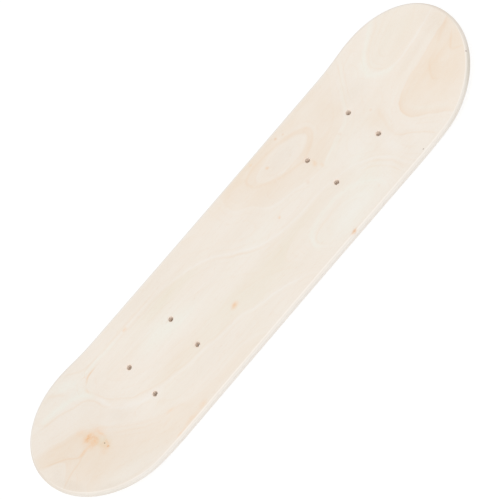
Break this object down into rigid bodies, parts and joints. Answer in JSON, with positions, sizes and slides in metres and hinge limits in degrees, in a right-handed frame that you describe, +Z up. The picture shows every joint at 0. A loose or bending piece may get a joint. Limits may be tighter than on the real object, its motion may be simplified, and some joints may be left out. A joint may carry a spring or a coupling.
{
  "type": "skateboard deck",
  "caption": "Bare wooden skateboard deck with raised rounded nose and tail, shallow concave, rounded edge and drilled truck holes, pressed from maple veneers.",
  "frame": {"origin": "on the flat underside, below the middle of the board", "axes": "+X along the board towards the nose, +Y across it towards the left rail, +Z up through the veneers"},
  "size_m": [0.6, 0.147, 0.0395],
  "materials": {
    "top_face_maple": "bare sanded rotary-cut veneer, matt",
    "bottom_face_maple": "bare sanded rotary-cut veneer, matt",
    "long_grain_maple": "sanded edge of a long-grain veneer, matt",
    "cross_grain_maple": "sanded edge of a cross-grain veneer, matt"
  },
  "bodies": {
    "root": {"bottom_face_veneer": "bottom_face_maple", "lower_long_veneer": "long_grain_maple", "lower_cross_veneer": "cross_grain_maple", "core_veneer": "long_grain_maple", "upper_cross_veneer": "cross_grain_maple", "upper_long_veneer": "long_grain_maple", "top_face_veneer": "top_face_maple"}
  },
  "joints": []
}
